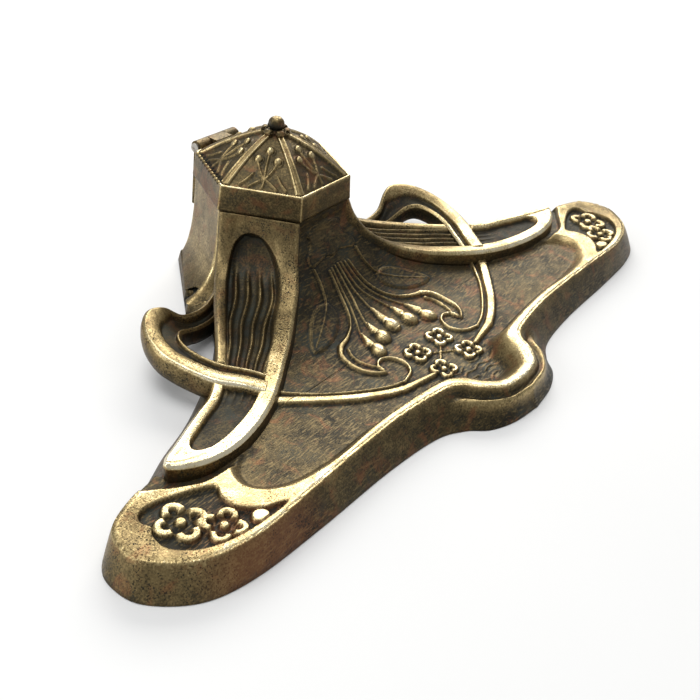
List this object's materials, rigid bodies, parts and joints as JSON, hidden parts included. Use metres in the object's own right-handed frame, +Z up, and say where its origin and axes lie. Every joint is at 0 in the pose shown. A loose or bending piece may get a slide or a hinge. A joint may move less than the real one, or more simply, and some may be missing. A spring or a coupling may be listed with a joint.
{
  "type": "inkwell",
  "caption": "Cast brass desk inkwell: hinged domed hexagonal lid over a glass liner, on a two-armed pen tray with leaf frames and strap loops.",
  "frame": {"origin": "middle of the overall box, on the desk", "axes": "+X to the writer's right, -Y towards the writer, +Z up"},
  "size_m": [0.2576, 0.1289, 0.0545],
  "materials": {
    "cast_brass": "aged cast brass, dark patina in the recesses",
    "leaf_brass": "aged brass, bands rubbed bright",
    "lid_brass": "aged brass, bright along the ribs and edges",
    "hinge_brass": "dull brass",
    "screw_brass": "dull brass",
    "pin_steel": "dull drawn wire",
    "liner_glass": "clear pressed glass",
    "pad_felt": "thin felt"
  },
  "bodies": {
    "base": {"tray": "cast_brass", "well_housing": "cast_brass", "front_apron": "cast_brass", "leaf_left": "leaf_brass", "leaf_right": "leaf_brass", "strap_left": "leaf_brass", "strap_right": "leaf_brass", "housing_screw_front_left": "screw_brass", "housing_screw_front_right": "screw_brass", "housing_screw_rear_left": "screw_brass", "housing_screw_rear_right": "screw_brass", "liner_pad": "pad_felt", "glass_liner": "liner_glass", "hinge_plate": "hinge_brass", "hinge_rivet_left": "hinge_brass", "hinge_rivet_right": "hinge_brass", "hinge_pin": "pin_steel"},
    "lid": {"lid": "lid_brass", "lid_finial": "lid_brass", "lid_knuckle": "hinge_brass"}
  },
  "joints": [
    {"name": "lid_hinge", "type": "hinge", "parent": "base", "child": "lid", "pos_m": [0, 0.0626, 0.0386], "axis": [-1, 0, 0], "range_deg": [0, 105]}
  ]
}
